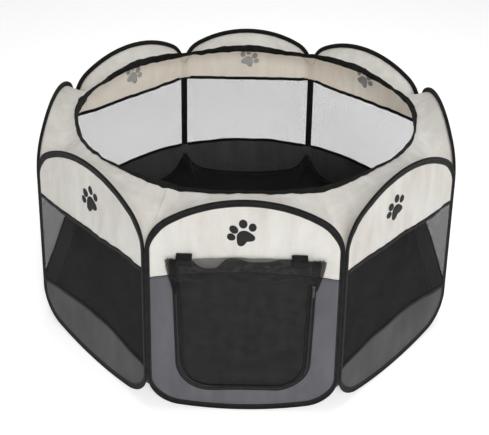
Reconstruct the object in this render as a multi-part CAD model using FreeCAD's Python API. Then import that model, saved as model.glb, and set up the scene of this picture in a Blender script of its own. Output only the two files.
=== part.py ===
"""Eight-panel pop-up pet playpen with an open top and a zipped mesh door.

Millimetres, +Z up. The origin is the centre of the floor, on the surface the pen stands on.
The door panel faces -Y. Each panel is modelled standing in the XZ plane with its outer face
towards -Y, then tilted inward, moved out to the octagon and turned to its place.
"""

import FreeCAD
import Part

import math
import os

# Octagon
PANEL_NAMES = ["front", "front_right", "right", "back_right", "back", "back_left", "left", "front_left"]
APOTHEM = 570.0            # centre of the floor to the foot of each panel
SEAM_LEAN = 0.098          # seams lean in this much per unit of height
TURN = 360.0 / len(PANEL_NAMES)
HALF_TURN = math.radians(TURN / 2)
CORNER_RADIUS = APOTHEM / math.cos(HALF_TURN)
TILT = math.atan(SEAM_LEAN * math.cos(HALF_TURN))

# Spring-wire hoop round each panel, sewn into a folded tape
SEAM_GAP = 2.0             # hoop edge to the corner line between two panels
SPRING_FOOT = 106.0        # height where the rounded foot meets the straight side
SPRING_TOP = 462.0         # height where the straight side meets the arch
HOOP_HEIGHT = 591.0        # measured along the panel
HAUNCH_RADIUS = 100.0      # arch, next to the straight side
FOOT_RADIUS = 90.0         # bottom corners
TAPE_WIDTH = 11.0
TAPE_THICKNESS = 7.0
WIRE_RADIUS = 1.3
WIRE_CLEARANCE = 0.05

# Sewn panels inside the hoop
CLOTH = 1.2
SEW_GAP = 0.2
WINDOW_BOTTOM = 148.0
WINDOW_TOP = 408.0

# Door panel
DOOR_HALF_WIDTH = 148.0
DOOR_BOTTOM = 76.0
DOOR_TOP = 400.0
DOOR_CORNER = 75.0
DOOR_GAP = 1.0
SLATE_SIDE = 392.0         # slate and beige meet at this height at the sides
SLATE_CENTRE = 410.0       # and at this height in the middle
ZIP_WIDTH = 12.0
ZIP_THICKNESS = 1.4
STRAP_CENTRES = [-132.0, 120.0]
STRAP_WIDTH = 36.0
STRAP_THICKNESS = 2.0
STRAP_BOTTOM = 432.0
STRAP_TOP = 458.0
STRAP_HEM = 7.0
STRAP_STANDOFF = 4.0

# Zip slider and pull
SLIDER_HEIGHT = 380.0      # centre of the slider, measured along the panel
SLIDER_SIZE = [9.0, 15.0, 3.0]
SLIDER_CORNER = 1.0
SLIDER_GAP = 0.4
BAR_RADIUS = 0.9
BAR_STANDOFF = 2.2         # slider face to the centre of its bar
EYE_RADIUS = 1.3           # hole in the pull, round the bar
PULL_WIDTH = 5.0
PULL_LENGTH = 30.0
PULL_THICKNESS = 1.6

# Roof band and its rim
RIM_HEIGHT = 542.0
RIM_TILT = 6.0             # the rim is this much lower at the front, and higher at the back
RIM_HALF_WIDTH = 460.0
RIM_HALF_DEPTH = 426.0
RIM_CENTRE_Y = 9.0
RIM_TAPE = 3.0
RIM_TAPE_HEIGHT = 11.0
ROOF_CLOTH = 1.5
ROOF_INSET = 6.0           # roof edge, in from the outside of the hoop
ROOF_STANDOFF = 4.2        # roof edge, inward of the middle of the hoop
ROOF_PIECES = 6            # the roof cloth's share is cut into this many flat-ish pieces side by side
RIM_PIECES = 2
PIECE_STATIONS = 4
BODY_GAP = 0.35            # between soft parts of neighbouring panels

# Floor, and the corner pieces that rise from it to the foot of each seam
FLOOR_CLOTH = 1.5
FLOOR_EDGE = 9.0           # floor edge to the foot of the panel
FLOOR_HALF_LENGTH = 135.0  # half the straight edge along the foot of a panel
FLOOR_CORNER = 522.0       # centre of the floor to its corner, where the corner piece starts to rise
GUSSET_RADIUS = 598.0      # centre line of the pen to the top of a corner piece
GUSSET_HEIGHT = 84.0


def panel_placement(index):
    """Where the panel at this index stands."""
    tilt = FreeCAD.Placement(FreeCAD.Vector(0, 0, 0),
                             FreeCAD.Rotation(FreeCAD.Vector(1, 0, 0), -math.degrees(TILT)))
    half_width = TAPE_WIDTH / 2 * math.cos(TILT)
    lift = math.hypot(half_width, TAPE_THICKNESS / 2 * math.sin(TILT)) - half_width
    out = FreeCAD.Placement(FreeCAD.Vector(0, -APOTHEM, lift), FreeCAD.Rotation())
    turn = FreeCAD.Placement(FreeCAD.Vector(0, 0, 0),
                             FreeCAD.Rotation(FreeCAD.Vector(0, 0, 1), TURN * index))
    return turn.multiply(out).multiply(tilt)


def placed(shape, index):
    """A copy of the shape, moved from the panel's own frame to its place in the pen."""
    copy = shape.copy()
    copy.Placement = panel_placement(index).multiply(copy.Placement)
    return copy


def save(name, solids):
    """Write one node. Several solids go in as a group."""
    shape = solids[0] if len(solids) == 1 else Part.makeCompound(solids)
    shape.exportStep("parts/" + name + ".step")


def half_width_at(height):
    """Half the width of a panel at this height along the panel."""
    foot = CORNER_RADIUS * math.sin(HALF_TURN)
    return foot * (1 - SEAM_LEAN * height * math.cos(TILT) / CORNER_RADIUS) - SEAM_GAP


def side_angle():
    """How far the straight sides lean towards the middle of the panel."""
    run = half_width_at(SPRING_FOOT) - half_width_at(SPRING_TOP)
    return math.atan(run / (SPRING_TOP - SPRING_FOOT))


def hoop_centres():
    """Centres and radii of the hoop's haunch, crown, foot corner and bottom arcs, right half."""
    lean = side_angle()
    cos_lean, sin_lean = math.cos(lean), math.sin(lean)
    haunch = (half_width_at(SPRING_TOP) - HAUNCH_RADIUS * cos_lean, SPRING_TOP - HAUNCH_RADIUS * sin_lean)
    drop = HOOP_HEIGHT - haunch[1]
    crown_radius = (haunch[0] ** 2 + drop ** 2 - HAUNCH_RADIUS ** 2) / (2 * (drop - HAUNCH_RADIUS))
    corner = (half_width_at(SPRING_FOOT) - FOOT_RADIUS * cos_lean, SPRING_FOOT - FOOT_RADIUS * sin_lean)
    rise = corner[1]
    bottom_radius = (corner[0] ** 2 + rise ** 2 - FOOT_RADIUS ** 2) / (2 * (rise - FOOT_RADIUS))
    return {
        "haunch": (haunch, HAUNCH_RADIUS),
        "crown": ((0.0, HOOP_HEIGHT - crown_radius), crown_radius),
        "corner": (corner, FOOT_RADIUS),
        "bottom": ((0.0, bottom_radius), bottom_radius),
    }


def on_arc(arc, angle, inset):
    """Point on one of the hoop's arcs, pulled in by the inset. The angle is from the +X direction."""
    (centre_x, centre_z), radius = arc
    reach = radius - inset
    return FreeCAD.Vector(centre_x + reach * math.cos(angle), 0, centre_z + reach * math.sin(angle))


def mirrored(point):
    return FreeCAD.Vector(-point.x, point.y, point.z)


def hoop_angles():
    """Angles, from +X, where the side meets its arcs, and where those arcs meet crown and bottom."""
    arcs = hoop_centres()
    (haunch_x, haunch_z), _ = arcs["haunch"]
    (_, crown_z), _ = arcs["crown"]
    (corner_x, corner_z), _ = arcs["corner"]
    (_, bottom_z), _ = arcs["bottom"]
    side = side_angle()
    crown = math.atan2(haunch_z - crown_z, haunch_x)
    bottom = math.atan2(corner_z - bottom_z, corner_x)
    return side, crown, bottom


def hoop_wire(inset):
    """Closed outline of the hoop, pulled in by the inset: bottom, corners, sides, haunches, crown."""
    arcs = hoop_centres()
    side, crown, bottom = hoop_angles()
    bottom_end = on_arc(arcs["bottom"], bottom, inset)
    foot_end = on_arc(arcs["corner"], side, inset)
    foot_middle = on_arc(arcs["corner"], (bottom + side) / 2, inset)
    side_end = on_arc(arcs["haunch"], side, inset)
    haunch_middle = on_arc(arcs["haunch"], (side + crown) / 2, inset)
    haunch_end = on_arc(arcs["haunch"], crown, inset)
    top = on_arc(arcs["crown"], math.pi / 2, inset)
    foot = on_arc(arcs["bottom"], -math.pi / 2, inset)
    curves = [
        Part.Arc(mirrored(bottom_end), foot, bottom_end),
        Part.Arc(bottom_end, foot_middle, foot_end),
        Part.LineSegment(foot_end, side_end),
        Part.Arc(side_end, haunch_middle, haunch_end),
        Part.Arc(haunch_end, top, mirrored(haunch_end)),
        Part.Arc(mirrored(haunch_end), mirrored(haunch_middle), mirrored(side_end)),
        Part.LineSegment(mirrored(side_end), mirrored(foot_end)),
        Part.Arc(mirrored(foot_end), mirrored(foot_middle), mirrored(bottom_end)),
    ]
    return Part.Wire([curve.toShape() for curve in curves])


def slab(face, inner, thickness):
    """A flat face in the XZ plane made into cloth, from this depth outward."""
    sheet = face.copy()
    sheet.translate(FreeCAD.Vector(0, inner, 0))
    return sheet.extrude(FreeCAD.Vector(0, -thickness, 0))


def cloth_sheet(bottom, top):
    """The part of the panel's cloth between two heights."""
    face = Part.Face(hoop_wire(TAPE_WIDTH + SEW_GAP))
    sheet = slab(face, CLOTH / 2, CLOTH)
    reach = 2 * CORNER_RADIUS
    band = Part.makeBox(reach, reach, top - bottom, FreeCAD.Vector(-reach / 2, -reach / 2, bottom))
    return sheet.common(band)


def sweep_round_hoop(profile_edge):
    """Carry a closed section, drawn at the foot of the hoop, round its centre line."""
    path = hoop_wire(TAPE_WIDTH / 2)
    shell = Part.BRepOffsetAPI.MakePipeShell(path)
    shell.add(Part.Wire([profile_edge]), False, False)
    shell.build()
    shell.makeSolid()
    return shell.shape()


def hoop_start():
    """Start of the hoop's centre line, and the direction it sets off in."""
    path = hoop_wire(TAPE_WIDTH / 2)
    first = path.OrderedEdges[0]
    return first.valueAt(first.FirstParameter), first.tangentAt(first.FirstParameter)


def section_ellipse(half_wide, half_thick):
    """Elliptical section square to the start of the hoop's centre line."""
    start, along = hoop_start()
    across = FreeCAD.Vector(0, 1, 0).cross(along)
    wide = start + across * half_wide
    thick = start + FreeCAD.Vector(0, half_thick, 0)
    return Part.Ellipse(wide, thick, start).toShape()


def section_circle(radius):
    start, along = hoop_start()
    return Part.Circle(start, along, radius).toShape()


def wire_loop():
    return sweep_round_hoop(section_circle(WIRE_RADIUS))


def tape_loop():
    """Binding tape folded round the wire: an oval ring with a channel for the wire."""
    body = sweep_round_hoop(section_ellipse(TAPE_WIDTH / 2, TAPE_THICKNESS / 2))
    channel = sweep_round_hoop(section_circle(WIRE_RADIUS + WIRE_CLEARANCE))
    return body.cut(channel)


def door_face(margin, top):
    """Door outline, grown all round by the margin, with rounded bottom corners and a straight top."""
    half = DOOR_HALF_WIDTH + margin
    bottom = DOOR_BOTTOM - margin
    radius = DOOR_CORNER + margin
    bend = radius * (1 - math.cos(math.pi / 4))

    def point(x, z):
        return FreeCAD.Vector(x, 0, z)

    edges = [
        Part.LineSegment(point(-half, top), point(-half, bottom + radius)),
        Part.Arc(point(-half, bottom + radius), point(-half + bend, bottom + bend), point(-half + radius, bottom)),
        Part.LineSegment(point(-half + radius, bottom), point(half - radius, bottom)),
        Part.Arc(point(half - radius, bottom), point(half - bend, bottom + bend), point(half, bottom + radius)),
        Part.LineSegment(point(half, bottom + radius), point(half, top)),
        Part.LineSegment(point(half, top), point(-half, top)),
    ]
    return Part.Face(Part.Wire([edge.toShape() for edge in edges]))


def below_slate_line(gap):
    """Everything below the arched line where slate and beige meet, less a gap."""
    reach = CORNER_RADIUS
    side = SLATE_SIDE - gap
    half = half_width_at(SLATE_SIDE)
    left = FreeCAD.Vector(-half, 0, side)
    right = FreeCAD.Vector(half, 0, side)
    middle = FreeCAD.Vector(0, 0, SLATE_CENTRE - gap)
    far_left = FreeCAD.Vector(-reach, 0, side)
    far_right = FreeCAD.Vector(reach, 0, side)
    low_left = FreeCAD.Vector(-reach, 0, -reach)
    low_right = FreeCAD.Vector(reach, 0, -reach)
    edges = [
        Part.LineSegment(far_left, left),
        Part.Arc(left, middle, right),
        Part.LineSegment(right, far_right),
        Part.LineSegment(far_right, low_right),
        Part.LineSegment(low_right, low_left),
        Part.LineSegment(low_left, far_left),
    ]
    face = Part.Face(Part.Wire([edge.toShape() for edge in edges]))
    return slab(face, reach, 2 * reach)


def front_panels():
    """Beige top and slate surround of the door panel."""
    whole = cloth_sheet(0, HOOP_HEIGHT)
    beige = whole.cut(below_slate_line(0))
    doorway = slab(door_face(DOOR_GAP, DOOR_TOP + DOOR_GAP), CLOTH, 2 * CLOTH)
    slate = whole.common(below_slate_line(SEW_GAP)).cut(doorway)
    return beige, slate


def zip_tape():
    """Zip tape sewn on the outside of the surround, down one side, along the bottom and up the other."""
    outer = door_face(DOOR_GAP + ZIP_WIDTH, DOOR_TOP)
    inner = door_face(DOOR_GAP, DOOR_TOP + DOOR_GAP)
    return slab(outer.cut(inner), -CLOTH / 2, ZIP_THICKNESS)


def door_straps():
    """Two tie straps, sewn to the beige top along their upper hem, hanging over the door's top."""
    straps = []
    hem_bottom = STRAP_TOP - STRAP_HEM
    for centre in STRAP_CENTRES:
        left = centre - STRAP_WIDTH / 2
        face_y = -CLOTH / 2 - STRAP_STANDOFF
        tail = Part.makeBox(STRAP_WIDTH, STRAP_THICKNESS, STRAP_TOP - STRAP_BOTTOM,
                            FreeCAD.Vector(left, face_y, STRAP_BOTTOM))
        hem = Part.makeBox(STRAP_WIDTH, STRAP_STANDOFF, STRAP_HEM, FreeCAD.Vector(left, face_y, hem_bottom))
        straps.append(tail.fuse(hem).removeSplitter())
    return straps


def slider_centre_x():
    return DOOR_HALF_WIDTH + DOOR_GAP + ZIP_WIDTH / 2


def slider_face_y():
    """Outer face of the slider's plate."""
    return -CLOTH / 2 - ZIP_THICKNESS - SLIDER_GAP - SLIDER_SIZE[2]


def bar_y():
    return slider_face_y() - BAR_STANDOFF


def zip_slider():
    """Slider plate with two ears that hold a cross bar for the pull."""
    width, length, thickness = SLIDER_SIZE
    centre_x = slider_centre_x()
    face_y = slider_face_y()
    plate = Part.makeBox(width, thickness, length,
                         FreeCAD.Vector(centre_x - width / 2, face_y, SLIDER_HEIGHT - length / 2))
    upright = [edge for edge in plate.Edges if edge.BoundBox.YLength > thickness / 2]
    plate = plate.makeFillet(SLIDER_CORNER, [edge for edge in upright if edge.BoundBox.ZLength < thickness / 2])
    ear_width = (width - PULL_WIDTH - 2 * SLIDER_GAP) / 2
    ear_reach = BAR_STANDOFF + EYE_RADIUS
    body = plate
    for side in (-1, 1):
        ear_left = centre_x + side * (width - ear_width) / 2 - ear_width / 2
        ear = Part.makeBox(ear_width, ear_reach, 2 * EYE_RADIUS,
                           FreeCAD.Vector(ear_left, face_y - ear_reach, SLIDER_HEIGHT - EYE_RADIUS))
        body = body.fuse(ear)
    bar = Part.makeCylinder(BAR_RADIUS, width - ear_width,
                            FreeCAD.Vector(centre_x - (width - ear_width) / 2, bar_y(), SLIDER_HEIGHT),
                            FreeCAD.Vector(1, 0, 0))
    return body.fuse(bar).removeSplitter()


def zip_pull():
    """Flat pull hanging from the slider's bar."""
    centre_x = slider_centre_x()
    left = centre_x - PULL_WIDTH / 2
    eye_outer = EYE_RADIUS + PULL_THICKNESS / 2
    eye = Part.makeCylinder(eye_outer, PULL_WIDTH, FreeCAD.Vector(left, bar_y(), SLIDER_HEIGHT),
                            FreeCAD.Vector(1, 0, 0))
    blade = Part.makeBox(PULL_WIDTH, PULL_THICKNESS, PULL_LENGTH,
                         FreeCAD.Vector(left, bar_y() - PULL_THICKNESS / 2, SLIDER_HEIGHT - PULL_LENGTH))
    hole = Part.makeCylinder(EYE_RADIUS, 2 * PULL_WIDTH,
                             FreeCAD.Vector(centre_x - PULL_WIDTH, bar_y(), SLIDER_HEIGHT),
                             FreeCAD.Vector(1, 0, 0))
    return eye.fuse(blade).cut(hole).removeSplitter()


def arch_point(fraction):
    """Point on the arch, where the roof is sewn on. Fraction runs from -1, left, to 1, right."""
    arcs = hoop_centres()
    side, crown, _ = hoop_angles()
    haunch_length = arcs["haunch"][1] * (crown - side)
    crown_length = arcs["crown"][1] * (math.pi / 2 - crown)
    along = (1 - abs(fraction)) * (haunch_length + crown_length)
    if along < haunch_length:
        point = on_arc(arcs["haunch"], side + along / arcs["haunch"][1], ROOF_INSET)
    else:
        point = on_arc(arcs["crown"], crown + (along - haunch_length) / arcs["crown"][1], ROOF_INSET)
    if fraction < 0:
        point = mirrored(point)
    point.y = ROOF_STANDOFF
    return point


def rim_point(azimuth, grow, rise):
    """Point on the rim at this azimuth from the front, grown outward and raised."""
    x = (RIM_HALF_WIDTH + grow) * math.sin(azimuth)
    y = RIM_CENTRE_Y - (RIM_HALF_DEPTH + grow) * math.cos(azimuth)
    return FreeCAD.Vector(x, y, RIM_HEIGHT - RIM_TILT * math.cos(azimuth) + rise)


def smooth_edge(points):
    curve = Part.BSplineCurve()
    curve.interpolate(points)
    return curve.toShape()


def fractions(piece, pieces):
    """Evenly spaced places along one piece of the panel's share, of which the whole is -1 to 1."""
    steps = pieces * PIECE_STATIONS
    first = piece * PIECE_STATIONS
    return [2.0 * (first + step) / steps - 1 for step in range(PIECE_STATIONS + 1)]


def rim_azimuth(index, fraction):
    """Azimuth on the rim, held a little short of the neighbouring panels' share."""
    shy = BODY_GAP / RIM_HALF_DEPTH
    return math.radians(TURN * index) + fraction * (HALF_TURN - shy)


def roof_cloth_piece(index, piece):
    """One piece of the beige roof cloth, from the panel's arch in to the rim."""
    place = panel_placement(index)
    span = fractions(piece, ROOF_PIECES)
    outer = smooth_edge([place.multVec(arch_point(fraction)) for fraction in span])
    grow = RIM_TAPE / 2 + SEW_GAP
    inner = smooth_edge([rim_point(rim_azimuth(index, fraction), grow, 0) for fraction in span])
    surface = Part.makeRuledSurface(outer, inner)
    return surface.extrude(FreeCAD.Vector(0, 0, ROOF_CLOTH))


def rim_tape_piece(index, piece):
    """One piece of the panel's share of the black tape round the top opening."""
    drop = -RIM_TAPE_HEIGHT / 2
    span = fractions(piece, RIM_PIECES)
    outside = smooth_edge([rim_point(rim_azimuth(index, fraction), RIM_TAPE / 2, drop) for fraction in span])
    inside = smooth_edge([rim_point(rim_azimuth(index, fraction), -RIM_TAPE / 2, drop) for fraction in span])
    strip = Part.makeRuledSurface(outside, inside)
    return strip.extrude(FreeCAD.Vector(0, 0, RIM_TAPE_HEIGHT))


def roof_pieces(index):
    """The panel's share of the roof: cloth pieces, then tape pieces."""
    cloth = [roof_cloth_piece(index, piece) for piece in range(ROOF_PIECES)]
    tape = [rim_tape_piece(index, piece) for piece in range(RIM_PIECES)]
    return cloth + tape


def floor_corner(side, radius, height):
    """Point beside the corner line between two panels, just on this panel's side of it."""
    shy = BODY_GAP / math.sin(HALF_TURN)
    reach = radius * math.cos(HALF_TURN)
    return FreeCAD.Vector(side * (reach - shy) * math.tan(HALF_TURN), -reach, height)


def cloth_plate(points):
    """A thin plate of floor cloth on these corners."""
    face = Part.Face(Part.makePolygon(points + points[:1]))
    return face.extrude(FreeCAD.Vector(0, 0, FLOOR_CLOTH))


def floor_pieces(index):
    """The panel's eighth of the floor, and its two corner pieces, which rise to the seams."""
    shy = BODY_GAP / math.sin(HALF_TURN)
    edge = APOTHEM - FLOOR_EDGE
    flat = [FreeCAD.Vector(0, -shy, 0)]
    corners = []
    for side in (1, -1):
        low = floor_corner(side, FLOOR_CORNER, 0)
        foot = FreeCAD.Vector(side * FLOOR_HALF_LENGTH, -edge, 0)
        top = floor_corner(side, GUSSET_RADIUS, GUSSET_HEIGHT)
        flat += [low, foot] if side == 1 else [foot, low]
        corners.append(cloth_plate([low, foot, top]))
    pieces = [cloth_plate(flat)] + corners
    for piece in pieces:
        piece.rotate(FreeCAD.Vector(0, 0, 0), FreeCAD.Vector(0, 0, 1), TURN * index)
    return pieces


def main():
    os.makedirs("parts", exist_ok=True)
    wire = wire_loop()
    tape = tape_loop()
    beige = cloth_sheet(WINDOW_TOP + SEW_GAP, HOOP_HEIGHT)
    window = cloth_sheet(WINDOW_BOTTOM + SEW_GAP, WINDOW_TOP)
    band = cloth_sheet(0, WINDOW_BOTTOM)
    front_beige, front_slate = front_panels()
    for index, name in enumerate(PANEL_NAMES):
        is_front = index == 0
        save("spring_wire_" + name, [placed(wire, index)])
        save("hoop_tape_" + name, [placed(tape, index)])
        save("upper_panel_" + name, [placed(front_beige if is_front else beige, index)])
        save("lower_panel_" + name, [placed(front_slate if is_front else band, index)])
        if not is_front:
            save("mesh_window_" + name, [placed(window, index)])
        save("roof_panel_" + name, roof_pieces(index))
        save("floor_panel_" + name, floor_pieces(index))
    door = slab(door_face(0, DOOR_TOP), CLOTH / 2, CLOTH)
    save("door_mesh", [placed(door, 0)])
    save("door_zip_tape", [placed(zip_tape(), 0)])
    save("door_straps", [placed(strap, 0) for strap in door_straps()])
    save("zip_slider", [placed(zip_slider(), 0)])
    save("zip_pull", [placed(zip_pull(), 0)])


main()
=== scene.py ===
"""Looks for the eight-panel pop-up pet playpen: cloth, mesh, tape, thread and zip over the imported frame.

Metres, +Z up, origin at the centre of the floor, door towards -Y. Every panel is worked out in its own
frame first: u across the panel (right as seen from outside), v up along it, n out of its face.
"""

import math

import bpy
from mathutils import Matrix, Vector, noise


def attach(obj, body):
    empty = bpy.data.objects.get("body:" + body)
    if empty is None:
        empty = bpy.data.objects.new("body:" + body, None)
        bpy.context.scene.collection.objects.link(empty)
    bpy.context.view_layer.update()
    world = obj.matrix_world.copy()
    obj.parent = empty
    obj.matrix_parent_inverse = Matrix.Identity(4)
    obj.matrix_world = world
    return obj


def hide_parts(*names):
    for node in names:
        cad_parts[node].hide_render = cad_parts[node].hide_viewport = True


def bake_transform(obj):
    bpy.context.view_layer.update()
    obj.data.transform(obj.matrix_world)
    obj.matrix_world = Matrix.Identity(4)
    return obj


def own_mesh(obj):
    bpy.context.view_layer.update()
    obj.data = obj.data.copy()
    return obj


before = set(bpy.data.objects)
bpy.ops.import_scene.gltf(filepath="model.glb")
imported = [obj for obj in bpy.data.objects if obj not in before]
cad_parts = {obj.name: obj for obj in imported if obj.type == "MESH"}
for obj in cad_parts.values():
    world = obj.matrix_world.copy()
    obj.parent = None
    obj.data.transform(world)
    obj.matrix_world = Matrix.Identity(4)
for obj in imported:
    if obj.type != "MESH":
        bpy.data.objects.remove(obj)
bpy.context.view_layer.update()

# The pen's own dimensions, as in the CAD model
PANEL_NAMES = ["front", "front_right", "right", "back_right", "back", "back_left", "left", "front_left"]
APOTHEM = 0.570
SEAM_LEAN = 0.098
TURN = 2 * math.pi / len(PANEL_NAMES)
HALF_TURN = TURN / 2
CORNER_RADIUS = APOTHEM / math.cos(HALF_TURN)
TILT = math.atan(SEAM_LEAN * math.cos(HALF_TURN))
SEAM_GAP = 0.0008
SPRING_FOOT = 0.106
SPRING_TOP = 0.462
HOOP_HEIGHT = 0.591
HAUNCH_RADIUS = 0.100
FOOT_RADIUS = 0.090
WINDOW_BOTTOM = 0.148
WINDOW_TOP = 0.408
SLATE_SIDE = 0.392
SLATE_CENTRE = 0.410
DOOR_HALF_WIDTH = 0.148
DOOR_BOTTOM = 0.076
DOOR_TOP = 0.400
DOOR_CORNER = 0.075
RIM_HEIGHT = 0.542
RIM_TILT = 0.006
RIM_HALF_WIDTH = 0.460
RIM_HALF_DEPTH = 0.426
RIM_CENTRE_Y = 0.009
GUSSET_HEIGHT = 0.084
ROOF_INSET = 0.0135            # roof cloth's sewn edge, in from the outside of the hoop

# Tape round the hoops: a bead over the wire at the outside, and a flat flange sewn to the cloth
BEAD_RADIUS = 0.0034
FLANGE_WIDTH = 0.0165
SIDE_OUTER = 0.0108            # the flange is this narrow down the sides, outside the pen
SIDE_INNER = 0.0092            # and this narrow inside it, except along the arch
FLANGE_HALF = 0.0012
CLOTH_INSET = 0.0075
CLOTH_THICKNESS = 0.0007

OUTSIDE, INSIDE = 1, -1
FRONT = 0                      # the panel with the door
FRONT_BODY = "panel_front"


# ---------------------------------------------------------------- panel frame and hoop outline

def body_of_panel(index):
    return "panel_" + PANEL_NAMES[index % len(PANEL_NAMES)]


def turn_about_z(point, angle):
    c, s = math.cos(angle), math.sin(angle)
    return Vector((point[0] * c - point[1] * s, point[0] * s + point[1] * c, point[2]))


def on_panel(index, u, v, n=0.0):
    """Place in the pen of a point given in a panel's own frame."""
    y = -n * math.cos(TILT) + v * math.sin(TILT) - APOTHEM
    z = n * math.sin(TILT) + v * math.cos(TILT)
    return turn_about_z((u, y, z), TURN * index)


def on_front(u, v, n=0.0):
    """The same for the panel with the door."""
    return on_panel(FRONT, u, v, n)


def panel_normal(index):
    return (on_panel(index, 0, 0, 1) - on_panel(index, 0, 0, 0)).normalized()


def corner_half_width(v):
    """Half the panel's width to the corner line it shares with its neighbour."""
    foot = CORNER_RADIUS * math.sin(HALF_TURN)
    return foot * (1 - SEAM_LEAN * v * math.cos(TILT) / CORNER_RADIUS)


def around(azimuth, radius, height=0.0):
    """Place at a distance from the pen's axis. Azimuth 0 is the door's side."""
    return Vector((radius * math.sin(azimuth), -radius * math.cos(azimuth), height))


def between(start, end, share):
    """Point part of the way from one (u, v) to another."""
    return start[0] + (end[0] - start[0]) * share, start[1] + (end[1] - start[1]) * share


def hoop_arcs():
    """The hoop's outline on its right half: centres, radii and the angles where arcs meet."""
    half_foot = corner_half_width(SPRING_FOOT) - SEAM_GAP
    half_top = corner_half_width(SPRING_TOP) - SEAM_GAP
    lean = math.atan((half_foot - half_top) / (SPRING_TOP - SPRING_FOOT))
    c, s = math.cos(lean), math.sin(lean)
    haunch = (half_top - HAUNCH_RADIUS * c, SPRING_TOP - HAUNCH_RADIUS * s)
    drop = HOOP_HEIGHT - haunch[1]
    crown_radius = (haunch[0] ** 2 + drop ** 2 - HAUNCH_RADIUS ** 2) / (2 * (drop - HAUNCH_RADIUS))
    corner = (half_foot - FOOT_RADIUS * c, SPRING_FOOT - FOOT_RADIUS * s)
    bottom_radius = (corner[0] ** 2 + corner[1] ** 2 - FOOT_RADIUS ** 2) / (2 * (corner[1] - FOOT_RADIUS))
    crown = (0.0, HOOP_HEIGHT - crown_radius)
    bottom = (0.0, bottom_radius)
    crown_angle = math.atan2(haunch[1] - crown[1], haunch[0])
    bottom_angle = math.atan2(corner[1] - bottom[1], corner[0])
    return {
        "bottom": (bottom, bottom_radius, -math.pi / 2, bottom_angle),
        "corner": (corner, FOOT_RADIUS, bottom_angle, lean),
        "haunch": (haunch, HAUNCH_RADIUS, lean, crown_angle),
        "crown": (crown, crown_radius, crown_angle, math.pi / 2),
    }


ARCS = hoop_arcs()


def arc_point(name, share, inset):
    """Point on one of the right half's arcs, and the outward direction there."""
    centre, radius, start, end = ARCS[name]
    angle = start + (end - start) * share
    out = (math.cos(angle), math.sin(angle))
    reach = radius - inset
    return (centre[0] + reach * out[0], centre[1] + reach * out[1]), out


def half_outline(inset, step):
    """Right half of the hoop from the middle of the foot to the top: ((u, v), outward) pairs."""
    points = []
    for name in ("bottom", "corner", "side", "haunch", "crown"):
        if name == "side":
            low, out = arc_point("corner", 1, inset)
            high, _ = arc_point("haunch", 0, inset)
            count = max(2, round(math.dist(low, high) / step))
            points += [(between(low, high, k / count), out) for k in range(1, count)]
            continue
        _, radius, start, end = ARCS[name]
        count = max(3, round(radius * (end - start) / step))
        first = 1 if name in ("corner", "crown") else 0
        points += [arc_point(name, k / count, inset) for k in range(first, count + 1)]
    return points


def full_outline(inset, step):
    """The whole hoop, once round from the middle of the foot: ((u, v), outward) pairs."""
    right = half_outline(inset, step)
    left = [((-p[0], p[1]), (-out[0], out[1])) for p, out in reversed(right[1:-1])]
    return right + left


def half_width(v, inset):
    """Half the width inside the hoop at a height along the panel."""
    low = arc_point("corner", 0, inset)[0][1]
    foot = arc_point("corner", 1, inset)[0]
    shoulder = arc_point("haunch", 0, inset)[0]
    crest = arc_point("haunch", 1, inset)[0][1]
    if v < low:
        name = "bottom"
    elif v < foot[1]:
        name = "corner"
    elif v < shoulder[1]:
        share = (v - foot[1]) / (shoulder[1] - foot[1])
        return foot[0] + (shoulder[0] - foot[0]) * share
    elif v < crest:
        name = "haunch"
    else:
        name = "crown"
    centre, radius, _, _ = ARCS[name]
    reach = radius - inset
    return centre[0] + math.sqrt(max(0.0, reach ** 2 - (v - centre[1]) ** 2))


def walk_arcs(names, share, inset):
    """Point this share of the way along two arcs that meet, as (u, v)."""
    lengths = [ARCS[name][1] * (ARCS[name][3] - ARCS[name][2]) for name in names]
    along = share * sum(lengths)
    if along < lengths[0]:
        return arc_point(names[0], along / lengths[0], inset)[0]
    return arc_point(names[1], (along - lengths[0]) / lengths[1], inset)[0]


def cut_area(low, high):
    """Flat area of the cloth inside the hoop between two heights, by strips."""
    steps = 60
    strip = (high - low) / steps
    widths = [2 * half_width(low + strip * (k + 0.5), CLOTH_INSET) for k in range(steps)]
    return round(sum(width * strip for width in widths), 4)


# ---------------------------------------------------------------- mesh helpers

def smoothstep(x):
    x = min(1.0, max(0.0, x))
    return x * x * (3 - 2 * x)


def grain(a, b, c, size):
    """Smooth repeatable noise from -1 to 1, with lumps about this size.

    Where a coordinate isn't a place but a bare number or a seed, it only picks another pattern.
    """
    return noise.noise(Vector((a / size, b / size, c / size)))


def lumps(a, b, *layers):
    """Sum of layers of grain, each a height, a third coordinate and a size."""
    return sum(height * grain(a, b, c, size) for height, c, size in layers)


def new_piece(name, verts, faces, mat, uvs):
    """A mesh piece. uvs are one (u, v) in metres per vertex, for the weave."""
    mesh = bpy.data.meshes.new(name)
    mesh.from_pydata([tuple(v) for v in verts], [], faces)
    layer = mesh.uv_layers.new(name="cloth")
    for loop in mesh.loops:
        layer.data[loop.index].uv = uvs[loop.vertex_index]
    for polygon in mesh.polygons:
        polygon.use_smooth = True
    mesh.validate()
    mesh.materials.append(mat)
    obj = bpy.data.objects.new(name, mesh)
    bpy.context.scene.collection.objects.link(obj)
    return obj


def grid_faces(rows, columns, close_rows=False, close_columns=False):
    faces = []
    for r in range(rows if close_rows else rows - 1):
        for c in range(columns if close_columns else columns - 1):
            r2, c2 = (r + 1) % rows, (c + 1) % columns
            faces.append((r * columns + c, r * columns + c2, r2 * columns + c2, r2 * columns + c))
    return faces


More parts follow.
